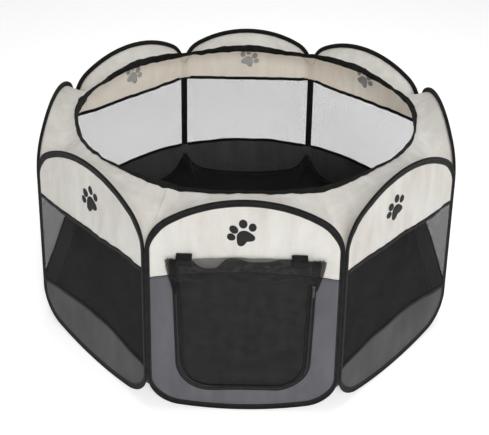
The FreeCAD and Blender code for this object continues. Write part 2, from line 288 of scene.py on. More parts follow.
def cut_size(verts, rows, columns):
    """Width and length of the flat cut that makes this grid: its widest row and its longest column."""
    def length(line):
        return sum((line[k + 1] - line[k]).length for k in range(len(line) - 1))

    grid = [verts[r * columns:(r + 1) * columns] for r in range(rows)]
    width = max(length(row) for row in grid)
    height = max(length([row[c] for row in grid]) for c in range(columns))
    return round(width, 4), round(height, 4)


def sheet_area(obj):
    return round(sum(polygon.area for polygon in obj.data.polygons), 4)


def grid_part(rows, columns, place):
    """Vertices, faces and weave of a sheet. place(row share, column share) gives a point and its (u, v)."""
    spots = [place(r / (rows - 1), c / (columns - 1)) for r in range(rows) for c in range(columns)]
    return [point for point, _ in spots], grid_faces(rows, columns), [uv for _, uv in spots]


def grid_piece(name, rows, columns, mat, place):
    """A sheet as a piece, and the size of its flat cut."""
    verts, faces, uvs = grid_part(rows, columns, place)
    return new_piece(name, verts, faces, mat, uvs), cut_size(verts, rows, columns)


def joined_piece(name, parts, mat):
    """One piece made of several (verts, faces, uvs)."""
    verts, faces, uvs = [], [], []
    for part_verts, part_faces, part_uvs in parts:
        base = len(verts)
        verts += part_verts
        faces += [tuple(index + base for index in face) for face in part_faces]
        uvs += part_uvs
    return new_piece(name, verts, faces, mat, uvs)


def thicken(obj, thickness, offset=0.0, other_side=None):
    """Give a sheet its thickness. other_side is the material of the face turned away from its normals."""
    solid = obj.modifiers.new("thickness", "SOLIDIFY")
    solid.thickness = thickness
    solid.offset = offset
    if other_side:
        obj.data.materials.append(other_side)
        solid.material_offset = 1


def tube_faces(rings, sides):
    """Faces of a tube with closed ends."""
    faces = grid_faces(rings, sides, close_columns=True)
    faces.append(tuple(reversed(range(sides))))
    faces.append(tuple(range((rings - 1) * sides, rings * sides)))
    return faces


def tube_piece(name, points, radius, sides, up, mat):
    """Round tube along points. up is a direction that the line never follows."""
    verts, uvs = [], []
    run = 0.0
    for k, point in enumerate(points):
        before, after = points[max(0, k - 1)], points[min(len(points) - 1, k + 1)]
        along = (after - before).normalized()
        side = along.cross(up).normalized()
        other = side.cross(along).normalized()
        run += (point - before).length
        for j in range(sides):
            angle = 2 * math.pi * j / sides
            verts.append(point + side * radius * math.cos(angle) + other * radius * math.sin(angle))
            uvs.append((radius * angle, run))
    return new_piece(name, verts, tube_faces(len(points), sides), mat, uvs)


# A thread's corners as shares of its size: along it, across it, and up from the cloth
STITCH_RING = [(-0.5, 0.0, 0.0), (-0.22, 0.5, 0.45), (0.22, 0.5, 0.45),
               (0.5, 0.0, 0.0), (0.22, -0.5, 0.45), (-0.22, -0.5, 0.45)]


# Length, width and height of a stitch in the hoop tape and the straps, and of a zip tooth
HOOP_THREAD = (0.0034, 0.0009, 0.0006)
STRAP_THREAD = (0.0030, 0.0009, 0.0007)
ZIP_TOOTH = (0.0036, 0.0016, 0.0011)


def stitch(middle, along, out, length, width, height):
    """One short raised thread: a pointed bead lying along its seam."""
    across = along.cross(out).normalized()
    verts = [middle + along * length * a + across * width * b + out * height * c for a, b, c in STITCH_RING]
    verts.append(middle + out * height)
    peak = len(STITCH_RING)
    faces = [(k, (k + 1) % peak, peak) for k in range(peak)]
    return verts, faces, [(0.0, 0.0)] * len(verts)


def settle(obj, body, node=None):
    """Tie a piece to its body, and hide the CAD node that it stands for."""
    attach(obj, body)
    if node:
        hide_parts(node)


def taut_sheet(obj, index, node):
    """Settle a sheet that a hoop holds taut."""
    settle(obj, body_of_panel(index), node)


def cloth_sheet(obj, index, slot, node, area):
    """Settle a woven sheet that a hoop holds taut. The beige one's back is lighter and tan, with a glow:
    painted light coming through the cloth.
    """
    thicken(obj, CLOTH_THICKNESS, other_side=MAT["lining"] if slot == "beige_oxford" else None)
    taut_sheet(obj, index, node)


# ---------------------------------------------------------------- materials

WEAVE_PITCH = 0.0011           # two threads of the Oxford cloth
RIB_PITCH = 0.0014             # one rib of the tape


def material(name):
    mat = bpy.data.materials.new(name)
    mat.use_nodes = True
    return mat, mat.node_tree, mat.node_tree.nodes["Principled BSDF"]


def set_inputs(made, values):
    for key, value in values.items():
        made.inputs[key].default_value = value


def link(tree, source, target):
    tree.links.new(source, target)


def node(tree, kind, **inputs):
    made = tree.nodes.new(kind)
    set_inputs(made, inputs)
    return made


def math_node(tree, operation, *values):
    """A math node. The values are sockets or numbers."""
    made = tree.nodes.new("ShaderNodeMath")
    made.operation = operation
    for socket, value in zip(made.inputs, values):
        if isinstance(value, (int, float)):
            socket.default_value = value
        else:
            link(tree, value, socket)
    return made.outputs[0]


def total(tree, *parts):
    """Sum of (socket, weight) parts."""
    scaled = [math_node(tree, "MULTIPLY", socket, weight) for socket, weight in parts]
    result = scaled[0]
    for part in scaled[1:]:
        result = math_node(tree, "ADD", result, part)
    return result


def tint(tree, shader, source, low, dark, high, light):
    """Base colour that runs from dark to light between two values of the source."""
    ramp = tree.nodes.new("ShaderNodeValToRGB")
    for element, place, colour in zip(ramp.color_ramp.elements, (low, high), (dark, light)):
        element.position = place
        element.color = (*colour, 1)
    link(tree, source, ramp.inputs[0])
    link(tree, ramp.outputs[0], shader.inputs["Base Color"])


def cloth_axes(tree):
    """The weave's two coordinates, in metres across and along the cloth."""
    coords = tree.nodes.new("ShaderNodeUVMap")
    coords.uv_map = "cloth"
    split = tree.nodes.new("ShaderNodeSeparateXYZ")
    link(tree, coords.outputs[0], split.inputs[0])
    return split.outputs[0], split.outputs[1]


def sine(tree, source, pitch):
    phase = math_node(tree, "MULTIPLY", source, 2 * math.pi / pitch)
    return math_node(tree, "SINE", phase)


def weave_height(tree):
    """Over-and-under threads of the Oxford cloth, as a height from 0 to 1."""
    across, along = cloth_axes(tree)
    product = math_node(tree, "MULTIPLY", sine(tree, across, WEAVE_PITCH), sine(tree, along, WEAVE_PITCH))
    return math_node(tree, "MULTIPLY_ADD", product, 0.5, 0.5)


def bump(tree, shader, height, strength, distance):
    made = node(tree, "ShaderNodeBump", Strength=strength, Distance=distance)
    link(tree, height, made.inputs["Height"])
    link(tree, made.outputs[0], shader.inputs["Normal"])


def object_noise(tree, scale, detail=3.0, rough=0.55, squeeze=None):
    """Noise in the piece's own space. squeeze scales the space first, which draws the lumps out."""
    vector = tree.nodes.new("ShaderNodeTexCoord").outputs["Object"]
    if squeeze:
        mapping = node(tree, "ShaderNodeMapping", Scale=squeeze)
        link(tree, vector, mapping.inputs["Vector"])
        vector = mapping.outputs[0]
    made = node(tree, "ShaderNodeTexNoise", Scale=scale, Detail=detail, Roughness=rough)
    link(tree, vector, made.inputs["Vector"])
    return made.outputs["Fac"]


def oxford(name, dark, light, roughness=0.8, strength=0.6, through=0.0, glow=0.0):
    """Coated Oxford cloth: a basket weave, soft upright streaks of painted shade from its folds, and fine
    creases.

    through and glow stand for daylight that comes through the cloth.
    """
    mat, tree, shader = material(name)
    height = weave_height(tree)
    patches = object_noise(tree, 7.0, 4.0)
    fibres = object_noise(tree, 260.0, 2.0)
    # Painted shade: soft upright streaks that darken the colour as the shade of hanging folds would.
    painted_fold_shade = object_noise(tree, 30.0, 3.0, 0.5, squeeze=(1.0, 1.0, 0.16))
    tone = total(tree, (height, 0.28), (patches, 0.5), (fibres, 0.22), (painted_fold_shade, 0.55))
    tint(tree, shader, tone, 0.50, dark, 0.98, light)
    creases = object_noise(tree, 34.0, 5.0, 0.6)
    bump(tree, shader, total(tree, (height, 0.35), (creases, 1.0)), strength, 0.0012)
    set_inputs(shader, {
        "Roughness": roughness,
        "Sheen Weight": 0.06,
        "Specular IOR Level": 0.2,
        "Subsurface Weight": through,
        "Subsurface Radius": (0.0060, 0.0052, 0.0042),
        "Subsurface Scale": 1.0,
        "Emission Color": (*light, 1.0),
        "Emission Strength": glow,
    })
    return mat


def grosgrain(name, dark, light):
    """Ribbed binding tape: ribs across its length, rubbed lighter here and there."""
    mat, tree, shader = material(name)
    ribs = sine(tree, cloth_axes(tree)[1], RIB_PITCH)
    wear = object_noise(tree, 60.0, 4.0)
    tint(tree, shader, total(tree, (ribs, 0.12), (wear, 1.0)), 0.3, dark, 0.75, light)
    bump(tree, shader, total(tree, (ribs, 0.5), (wear, 0.8)), 0.5, 0.0006)
    set_inputs(shader, {"Roughness": 0.7, "Specular IOR Level": 0.18, "Sheen Weight": 0.03})
    return mat


def netting(name, colour, pitch, thread_share, closed_alpha, open_alpha):
    """Open knitted mesh: fine threads round rows of small holes."""
    mat, tree, shader = material(name)
    across, along = cloth_axes(tree)
    waves = []
    for operation in ("ADD", "SUBTRACT"):
        slanted = math_node(tree, operation, across, along)
        waves.append(math_node(tree, "ABSOLUTE", sine(tree, slanted, 2 * pitch)))
    thread = math_node(tree, "LESS_THAN", math_node(tree, "MINIMUM", *waves), thread_share)
    cover = math_node(tree, "MULTIPLY_ADD", thread, closed_alpha - open_alpha, open_alpha)
    link(tree, cover, shader.inputs["Alpha"])
    lighter = tuple(min(1.0, c * 1.8 + 0.004) for c in colour)
    tint(tree, shader, object_noise(tree, 40.0), 0.3, colour, 0.7, lighter)
    set_inputs(shader, {"Roughness": 0.7, "Specular IOR Level": 0.2})
    return mat


def print_ink(name, dark, light, roughness):
    """Flat screen-print ink with the cloth's grain showing through."""
    mat, tree, shader = material(name)
    height = weave_height(tree)
    speckle = object_noise(tree, 420.0, 2.0)
    tint(tree, shader, total(tree, (height, 0.3), (speckle, 0.7)), 0.3, dark, 0.8, light)
    bump(tree, shader, height, 0.3, 0.0006)
    set_inputs(shader, {"Roughness": roughness})
    return mat


def thread(name, dark, light):
    mat, tree, shader = material(name)
    tint(tree, shader, object_noise(tree, 900.0, 1.0), 0.35, dark, 0.65, light)
    set_inputs(shader, {"Roughness": 0.6, "Sheen Weight": 0.2})
    return mat


def enamel(name, dark, light, metallic=0.0, roughness=0.38):
    """Painted or drawn metal with rubbed edges."""
    mat, tree, shader = material(name)
    wear = object_noise(tree, 500.0, 4.0, 0.65)
    tint(tree, shader, wear, 0.45, dark, 0.72, light)
    bump(tree, shader, wear, 0.2, 0.0002)
    set_inputs(shader, {"Metallic": metallic, "Roughness": roughness})
    return mat


MAT = {
    "beige": oxford("beige oxford", (0.66, 0.605, 0.54), (0.88, 0.855, 0.79), strength=0.5, through=0.3),
    # Painted light: the back is the beige cloth made lighter and warmer, and its glow stands for daylight
    # coming through the cloth.
    "lining": oxford("beige cloth back with painted light through it", (0.78, 0.68, 0.56), (0.95, 0.87, 0.76), strength=0.5,
                     through=0.3, glow=0.13),
    "grey": oxford("grey oxford", (0.052, 0.052, 0.053), (0.100, 0.100, 0.103)),
    "slate": oxford("slate oxford", (0.090, 0.090, 0.101), (0.150, 0.150, 0.168)),
    "floor": oxford("floor oxford", (0.003, 0.003, 0.0033), (0.010, 0.010, 0.0105), roughness=0.6),
    "tape": grosgrain("black tape", (0.0035, 0.0034, 0.0032), (0.0150, 0.0145, 0.0140)),
    "mesh": netting("window mesh", (0.006, 0.006, 0.006), 0.0026, 0.36, 0.96, 0.04),
    "side mesh": netting("side window mesh", (0.004, 0.004, 0.004), 0.0026, 0.55, 0.96, 0.06),
    "gathered mesh": netting("gathered door mesh", (0.010, 0.010, 0.0105), 0.0022, 0.60, 0.97, 0.40),
    "door mesh": netting("door mesh", (0.018, 0.018, 0.0185), 0.0022, 0.46, 0.97, 0.12),
    "ink": print_ink("black paw ink", (0.003, 0.003, 0.003), (0.009, 0.009, 0.009), 0.75),
    "ghost": print_ink("paw seen through the cloth", (0.50, 0.50, 0.50), (0.62, 0.61, 0.60), 0.8),
    "black thread": thread("black thread", (0.015, 0.015, 0.015), (0.05, 0.05, 0.05)),
    "enamel": enamel("black enamel", (0.012, 0.012, 0.012), (0.09, 0.09, 0.09)),
    "teeth": enamel("zip teeth", (0.012, 0.012, 0.013), (0.04, 0.04, 0.042), roughness=0.35),
    "wire": enamel("spring wire", (0.30, 0.31, 0.33), (0.62, 0.63, 0.66), metallic=1.0, roughness=0.32),
}


# ---------------------------------------------------------------- cloth in the panels

def edge_distance(u, v):
    """How far a point of a panel is inside its hoop's outline."""
    u = abs(u)
    lean = ARCS["haunch"][2]
    nearest = (half_width(SPRING_TOP, 0.0) - u) * math.cos(lean) + (SPRING_TOP - v) * math.sin(lean)
    for name in ("crown", "bottom"):
        centre, radius, _, _ = ARCS[name]
        nearest = min(nearest, radius - math.dist((u, v), centre))
    for name in ("haunch", "corner"):
        centre, radius, start, end = ARCS[name]
        if start <= math.atan2(v - centre[1], u - centre[0]) <= end:
            nearest = min(nearest, radius - math.dist((u, v), centre))
    return max(0.0, nearest)


FAN_CENTRE = 0.20              # height that the arch's folds fan out from
PANEL_MIDDLE = 0.3             # height that the arch's folds start at, and the puckers go round
PULL_CORNER = (0.21, SPRING_TOP - 0.01)     # where the cloth is pulled to, on both sides


def cloth_relief(index, u, v):
    """How far the taut cloth stands out of the panel: slack, folds hanging from the arch, pulls, puckers."""
    edge = edge_distance(u, v)
    free = edge - FLANGE_WIDTH
    seed = 7.3 * index + 1.7
    slack = lumps(u, v, (0.0050, seed, 0.17), (0.0022, seed + 2, 0.06))
    fan = math.atan2(u, v - FAN_CENTRE)
    folds = 0.0024 * grain(fan * 0.3, v * 0.12, seed + 6, 0.022) * smoothstep((v - PANEL_MIDDLE) / 0.12)
    pulls = 0.0
    for side in (-1, 1):
        du, dv = u - side * PULL_CORNER[0], v - PULL_CORNER[1]
        angle = math.atan2(dv, side * du)
        pulls += 0.0022 * math.exp(-math.hypot(du, dv) / 0.12) * grain(angle * 0.1, seed, side, 0.028)
    perimeter = math.atan2(v - PANEL_MIDDLE, u)
    puckers = 0.0022 * math.exp(-edge / 0.024) * grain(perimeter * 0.3, seed + 4, 0.0, 0.010)
    return (slack + folds) * smoothstep(free / 0.040) + (pulls + puckers) * smoothstep(free / 0.010)


def window_line(index, height):
    """Sewn edge of a window, pulled into small waves: height along the panel as a function of u."""
    is_top = height == WINDOW_TOP
    seed = index * 2.9 + (5.0 if is_top else 0.0)

    def line(u):
        arch = 0.0 if is_top else 0.008 - 0.026 * (u / 0.23) ** 2
        return height + lumps(u, seed, (0.0030, height, 0.075), (0.0010, 3.0, 0.022)) + arch

    return line


def cloth_piece(name, index, low, high, mat, rows=34, columns=60, low_line=None, high_line=None):
    """Cloth between two heights in a panel. low_line and high_line bend those edges, as functions of u."""
    def place(up, across):
        share = math.sin(up * math.pi / 2) if high > SPRING_TOP else up
        v = low + (high - low) * share
        u = half_width(v, CLOTH_INSET) * (2 * across - 1)
        if low_line:
            v += (low_line(u) - low) * (1 - share)
        if high_line:
            v += (high_line(u) - high) * share
        return on_panel(index, u, v, cloth_relief(index, u, v)), (u, v)

    return grid_piece(name, rows, columns, mat, place)[0]


def slate_line(u):
    """Height where slate and beige meet on the door panel: a low arch."""
    share = min(1.0, abs(u) / half_width(SLATE_SIDE, 0.0))
    return SLATE_CENTRE - (SLATE_CENTRE - SLATE_SIDE) * share ** 2


CLOTH_TOP = HOOP_HEIGHT - CLOTH_INSET
EDGE_SHY = 0.0002              # sheets stop this short of the ends of the outline, where it has no width


def side_panel_cloth(index):
    """Beige top, mesh window and grey foot of a panel without a door."""
    name = PANEL_NAMES[index]
    top = CLOTH_TOP - EDGE_SHY
    top_line, bottom_line = window_line(index, WINDOW_TOP), window_line(index, WINDOW_BOTTOM)
    upper = cloth_piece("upper_cloth_" + name, index, WINDOW_TOP, top, MAT["beige"], low_line=top_line)
    cloth_sheet(upper, index, "beige_oxford", "upper_panel_" + name,
                cut_area(WINDOW_TOP, CLOTH_TOP))
    net = MAT["mesh" if name.startswith("back") else "side mesh"]
    window = cloth_piece("window_mesh_" + name, index, WINDOW_BOTTOM, WINDOW_TOP, net, rows=30,
                         low_line=bottom_line, high_line=top_line)
    taut_sheet(window, index, "mesh_window_" + name)
    low = cloth_piece("lower_cloth_" + name, index, CLOTH_INSET + EDGE_SHY, WINDOW_BOTTOM, MAT["grey"],
                      rows=30, high_line=bottom_line)
    cloth_sheet(low, index, "grey_oxford", "lower_panel_" + name,
                cut_area(CLOTH_INSET, WINDOW_BOTTOM))


def door_outline(margin, step):
    """Points down one side of the door, along its bottom and up the other: ((u, v), outward)."""
    half, bottom, radius = DOOR_HALF_WIDTH + margin, DOOR_BOTTOM - margin, DOOR_CORNER + margin
    right, down = (1.0, 0.0), (0.0, -1.0)
    centre = (half - radius, bottom + radius)
    count = round((DOOR_TOP - bottom - radius) / step)
    points = [(between((half, DOOR_TOP), (half, centre[1]), k / count), right) for k in range(count)]
    count = round(radius * math.pi / 2 / step)
    for k in range(count + 1):
        angle = -math.pi / 2 * k / count
        out = (math.cos(angle), math.sin(angle))
        points.append(((centre[0] + radius * out[0], centre[1] + radius * out[1]), out))
    count = round((half - radius) / step)
    points += [((centre[0] * (1 - k / count), bottom), down) for k in range(1, count + 1)]
    return points + [((-p[0], p[1]), (-out[0], out[1])) for p, out in reversed(points[:-1])]


def surround_edge(point, out):
    """Where the line out of the doorway meets the hoop, or the slate line at the sides."""
    if out[1] == 0.0:
        foot_v = DOOR_BOTTOM + DOOR_CORNER
        share = (point[1] - foot_v) / (DOOR_TOP - foot_v)
        v = foot_v - 0.010 + (SLATE_SIDE - foot_v + 0.010) * share
        side = 1 if out[0] > 0 else -1
        return side * half_width(v, CLOTH_INSET), v
    past_hoop, halvings = 0.3, 30
    low, high = 0.0, past_hoop
    for _ in range(halvings):
        middle = (low + high) / 2
        u, v = point[0] + out[0] * middle, point[1] + out[1] * middle
        inside = CLOTH_INSET < v and abs(u) < half_width(v, CLOTH_INSET)
        low, high = (middle, high) if inside else (low, middle)
    return point[0] + out[0] * low, point[1] + out[1] * low


def door_surround():
    """Slate cloth round the doorway: strips from the door's outline out to the hoop."""
    strips = [(point, surround_edge(point, out)) for point, out in door_outline(0.0015, 0.010)]
    last = len(strips) - 1

    def place(round_door, outward):
        u, v = between(*strips[round(round_door * last)], outward)
        return on_front(u, v, cloth_relief(FRONT, u, v) - 0.0006 * (1 - outward)), (u, v)

    surround, _ = grid_piece("door_surround_cloth", len(strips), 16, MAT["slate"], place)
    doorway = 2 * DOOR_HALF_WIDTH * (SLATE_SIDE - DOOR_BOTTOM)
    area = cut_area(CLOTH_INSET, SLATE_SIDE) - doorway
    cloth_sheet(surround, FRONT, "slate_oxford", "lower_panel_front", area)


def front_upper():
    top = CLOTH_TOP - EDGE_SHY
    upper = cloth_piece("upper_cloth_front", FRONT, SLATE_SIDE, top, MAT["beige"], rows=44, columns=72,
                        low_line=slate_line)
    cloth_sheet(upper, FRONT, "beige_oxford", "upper_panel_front",
                cut_area(SLATE_SIDE, CLOTH_TOP))


# ---------------------------------------------------------------- tape, stitches and seams

def flange_width(v, face):
    """How far the tape reaches in from the hoop's edge, at a height in the panel."""
    arch = smoothstep((v - SPRING_TOP - 0.005) / 0.055)
    if face == INSIDE:
        return SIDE_INNER + (FLANGE_WIDTH - SIDE_INNER) * arch
    foot = 1 - smoothstep((v - 0.030) / 0.070)
    return SIDE_OUTER + (FLANGE_WIDTH - SIDE_OUTER) * max(arch, foot)


def flange_section(width):
    """One face of the tape's flange, from the bead to its rounded edge: distances inward and out."""
    return [(0.0080, 0.0017), ((width + 0.0084) / 2, FLANGE_HALF + 0.0001), (width - 0.0005, FLANGE_HALF),
            (width, 0.0008), (width - 0.0002, 0.0002)]


def tape_profile(outer_width, inner_width):
    """Section of the folded tape, once round: distance in from the hoop's edge, and out of the panel."""
    steps = 12
    first, last = math.radians(-32), math.radians(-328)
    points = []
    for k in range(steps + 1):
        angle = first + (last - first) * k / steps
        points.append((BEAD_RADIUS * (1 + math.cos(angle)), -BEAD_RADIUS * math.sin(angle)))
    inner = [(inward, -depth) for inward, depth in flange_section(inner_width)]
    return points + inner + flange_section(outer_width)[::-1]


def hoop_tape(index):
    """Binding tape round one hoop, with the slight pucker of a sewn edge."""
    name = PANEL_NAMES[index]
    stations = full_outline(0.0, 0.0075)
    verts, uvs = [], []
    run = 0.0
    for k, ((u, v), out) in enumerate(stations):
        if k:
            run += math.dist((u, v), stations[k - 1][0])
        lean = 0.0005 * grain(run, index * 3.1, 0.0, 0.045)
        profile = tape_profile(flange_width(v, OUTSIDE), flange_width(v, INSIDE))
        for j, (inward, depth) in enumerate(profile):
            pucker = 0.0006 * grain(run, index * 5.3, 9.0, 0.012) * smoothstep((inward - 0.006) / 0.006)
            n = depth + pucker + lean * inward / FLANGE_WIDTH
            verts.append(on_panel(index, u - out[0] * inward, v - out[1] * inward, n))
            uvs.append((inward if j < len(profile) / 2 else -inward, run))
    faces = grid_faces(len(stations), len(profile), close_rows=True, close_columns=True)
    tape = new_piece("hoop_binding_" + name, verts, faces, MAT["tape"], uvs)
    settle(tape, body_of_panel(index), "hoop_tape_" + name)


def hoop_stitches(index):
    """A row of stitches near the flange's inner edge, on both faces."""
    pitch, edge_margin = 0.0050, 0.0018
    parts = []
    for face in (OUTSIDE, INSIDE):
        for (u, v), out in full_outline(0.0, pitch):
            if face == INSIDE and v < SPRING_TOP + 0.060:
                continue
            along = on_panel(index, u - out[1], v + out[0]) - on_panel(index, u, v)
            inward = flange_width(v, face) - edge_margin
            middle = on_panel(index, u - out[0] * inward, v - out[1] * inward, face * (FLANGE_HALF + 0.0001))
            parts.append(stitch(middle, along.normalized(), panel_normal(index) * face, *HOOP_THREAD))
    row = joined_piece("hoop_stitching_" + PANEL_NAMES[index], parts, MAT["black thread"])
    settle(row, body_of_panel(index))


RIBBON_HALF_WIDTH = 0.0055
RIBBON_CROWN = 0.0008
RIBBON_PROFILE = [(-1.0, -0.3), (-0.8, 0.5), (0.0, 0.7), (0.8, 0.5), (1.0, -0.3)]


def ribbon_on_panel(name, index, line, lift, wave=0.0006, node_name=None):
    """A thin flat ribbon laid along a line of (u, v) points on a panel, this far out of its cloth."""
    face = OUTSIDE if lift > 0 else INSIDE
    verts, uvs = [], []
    run = 0.0
    for k, (u, v) in enumerate(line):
        before, after = line[max(0, k - 1)], line[min(len(line) - 1, k + 1)]
        du, dv = after[0] - before[0], after[1] - before[1]
        size = math.hypot(du, dv)
        if k:
            run += math.dist(line[k], line[k - 1])
        wobble = wave * grain(run, index * 2.3, lift * 90, 0.03)
        for across, rise in RIBBON_PROFILE:
            a = across * RIBBON_HALF_WIDTH
            pu, pv = u - dv / size * a, v + du / size * a + wobble
            n = cloth_relief(index, pu, pv) + lift + face * rise * RIBBON_CROWN
            verts.append(on_panel(index, pu, pv, n))
            uvs.append((a, run))
    ribbon = new_piece(name, verts, grid_faces(len(line), len(RIBBON_PROFILE)), MAT["tape"], uvs)
    thicken(ribbon, 0.0005, offset=-face)
    settle(ribbon, body_of_panel(index), node_name)


def window_bindings(index):
    """Black binding along the window's top and bottom, on both faces."""
    steps = 60
    for label, height in (("top", WINDOW_TOP), ("bottom", WINDOW_BOTTOM)):
        edge = window_line(index, height)
        reach = half_width(height - 0.012, 0.009)
        line = [(reach * (2 * k / steps - 1), edge(reach * (2 * k / steps - 1))) for k in range(steps + 1)]
        for face, side in ((OUTSIDE, "outer"), (INSIDE, "inner")):
            name = "window_%s_binding_%s_%s" % (label, side, PANEL_NAMES[index])
            ribbon_on_panel(name, index, line, face * 0.0006)


OPEN_PIVOT = "back"            # no joint ties this panel to the next one round


def over_seam(index, name, halves, rows, columns, half, mat, thickness, shape):
    """Sheets over the seam after a panel: one that bends across it, or two halves at the open pivot.

    shape(up, share) gives a height and a distance in from the corner line, with share from -1 to 1 over
    the seam. halves end the half sheets' names. half is the half width over which the sheet bends.
    """
    azimuth = TURN * index + HALF_TURN
    out, side = around(azimuth, 1.0), Vector((math.cos(azimuth), math.sin(azimuth), 0))
    is_open = PANEL_NAMES[index] == OPEN_PIVOT
    made = []
    for start, end in ((-1, 0), (0, 1)) if is_open else ((-1, 1),):
        def place(up, across):
            share = start + (end - start) * across
            height, inward = shape(up, share)
            point = out * (CORNER_RADIUS - SEAM_LEAN * height - inward) + side * share * half
            point.z = height
            return point, (share * half, height)

        sheet, cut = grid_piece(name + (halves[start + 1] if is_open else ""), rows, columns, mat, place)
        thicken(sheet, thickness)
        if is_open:
            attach(sheet, body_of_panel(index + start + 1))
        else:
            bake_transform(sheet)
        made.append((sheet, cut))
    return made


def seam_strip(index):
    """Cloth hinge between a panel and the next one round: a black strip over both beads."""
    low, high = SPRING_FOOT - 0.012, SPRING_TOP + 0.002

    def shape(up, share):
        height = low + (high - low) * up
        bow = 0.0002 + 0.0024 * share * share
        return height, bow - 0.0004 * grain(height, share * 0.01, index * 4.7, 0.014)

    over_seam(index, "seam_strip_" + PANEL_NAMES[index], ("_half_0", "_half_1"), 50, 9, 0.0052, MAT["tape"],
              0.0012, shape)


def corner_lining(index, label, low, high, slope, mat, slot):
    """Cloth carried across the inside of a corner, over the seam. Its top rises by slope to both sides."""
    half = 0.0200

    def shape(up, share):
        reach = abs(share) * half
        height = low + (high + slope * abs(share) - low) * up
        lift = 0.0052 - 0.0037 * smoothstep((reach - 0.003) / 0.010)
        crumple = 0.0007 * grain(height, share * 0.02, index * 2.1, 0.018)
        return height, lift + reach * math.tan(HALF_TURN) - crumple

    panel = PANEL_NAMES[index]
    name = "corner_lining_" + label + "_" + panel
    for lining, cut in over_seam(index, name, ("_1", "_2"), 16, 17, half, mat, CLOTH_THICKNESS,
                                 shape):
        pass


def corner_linings(index):
    upper = (WINDOW_TOP + 0.001, SPRING_TOP + 0.0005)
    lower = (GUSSET_HEIGHT - 0.010, WINDOW_BOTTOM - 0.016)
    corner_lining(index, "upper", *upper, 0.012, MAT["lining"], "beige_oxford")
    corner_lining(index, "lower", *lower, 0.0, MAT["grey"], "grey_oxford")


# ---------------------------------------------------------------- roof band and rim

def rim_centreline(azimuth):
    """The top opening's edge, drooping and waving a little between the corners."""
    c, s = math.cos(azimuth), math.sin(azimuth)
    droop = 0.004 * math.cos(azimuth * 8) + lumps(c, s, (0.003, 3.0, 0.30), (0.0022, 6.0, 0.05))
    wander = lumps(c, s, (0.003, 9.0, 0.25), (0.0024, 4.0, 0.06))
    x = (RIM_HALF_WIDTH + wander) * s - 0.006 * max(0.0, s)
    y = RIM_CENTRE_Y - (RIM_HALF_DEPTH + wander) * c
    return Vector((x, y, RIM_HEIGHT - RIM_TILT * c + droop))


def sewn_edge(index, fraction, place, height, inset):
    """A point on a panel's edge, drawn in to the corner line as the fraction across the panel nears 1."""
    side = 1 if fraction > 0 else -1
    u, v, n = place
    radius = CORNER_RADIUS - SEAM_LEAN * height - inset
    corner = around(TURN * index + side * HALF_TURN, radius, height)
    return on_panel(index, side * u, v, n).lerp(corner, smoothstep((abs(fraction) - 0.90) / 0.10))


def arch_edge(index, fraction):
    """Where the roof cloth is sewn to a panel: along its arch, ending on the corner line."""
    u, v = walk_arcs(("haunch", "crown"), 1 - abs(fraction), ROOF_INSET)
    return sewn_edge(index, fraction, (u, v, -0.0024), (SPRING_TOP + 0.002) * math.cos(TILT), 0.0035)


def arch_edge_past_corner(index, fraction):
    """The arch edge, carried on past the corner as the neighbour's mirror image of it."""
    if abs(fraction) <= 1:
        return arch_edge(index, fraction)
    side = 1 if fraction > 0 else -1
    point = arch_edge(index, side * 2 - fraction)
    corner = TURN * index + side * HALF_TURN
    return around(2 * corner - math.atan2(point.x, -point.y), math.hypot(point.x, point.y), point.z)


# Where the roof's outer end is averaged, in widths of the averaging window, and the weight of each spot
ROOF_SPOTS = [(-1.0, 1), (-0.5, 2), (0.0, 3), (0.5, 2), (1.0, 1)]
ROOF_WEIGHT = sum(weight for _, weight in ROOF_SPOTS)


def roof_point(index, fraction, share):
    """Point of the roof cloth: fraction across the panel's share, share from the arch to the rim.

    Away from the arch the cloth rounds off the valley at the corner, so the outer end is an average.
    """
    window = 0.22 * smoothstep(share / 0.6)
    outer = Vector((0, 0, 0))
    for offset, weight in ROOF_SPOTS:
        outer += arch_edge_past_corner(index, fraction + offset * window) * weight / ROOF_WEIGHT
    azimuth = TURN * index + fraction * HALF_TURN
    rim = rim_centreline(azimuth)
    point = outer.lerp(rim, share)
    free = math.sin(math.pi * share)
    span = (rim - outer).length
    to_rim = 1 - share
    c, s = math.cos(azimuth), math.sin(azimuth)
    waves = lumps(point.x, point.y, (0.0040, 1.0, 0.10), (0.0022, 5.0, 0.040))
    gathers = 0.0020 * grain(c, s, 11.0, 0.024) * math.exp(-to_rim * span / 0.045)
    puckers = 0.0016 * grain(c, s, 15.0, 0.020) * math.exp(-share * span / 0.035)
    pull = 0.0030 * grain(c, s, share * 0.02, 0.045) * free
    point.z += (waves + pull - 0.05 * span) * free
    point.z += gathers * smoothstep(to_rim / 0.05) + puckers * smoothstep(share / 0.05)
    return point


ROOF_REACH = 1.02              # each share of the roof laps this far under or over the next


def roof_cloth(index):
    """The panel's share of the beige roof band."""
    def place(inward, across):
        fraction = ROOF_REACH * (2 * across - 1)
        point = roof_point(index, fraction, inward)
        point.z -= 0.0009 * max(0.0, fraction - 1) / (ROOF_REACH - 1)
        local = turn_about_z(point, -TURN * index)
        return point, (local.x, local.y - local.z)

    name = PANEL_NAMES[index]
    sheet, cut = grid_piece("roof_cloth_" + name, 20, 97, MAT["beige"], place)
    cloth_sheet(sheet, index, "beige_oxford", "roof_panel_" + name, sheet_area(sheet))
    gather(sheet)


def gather(obj):
    """Give a soft piece a mesh of its own."""
    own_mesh(obj)


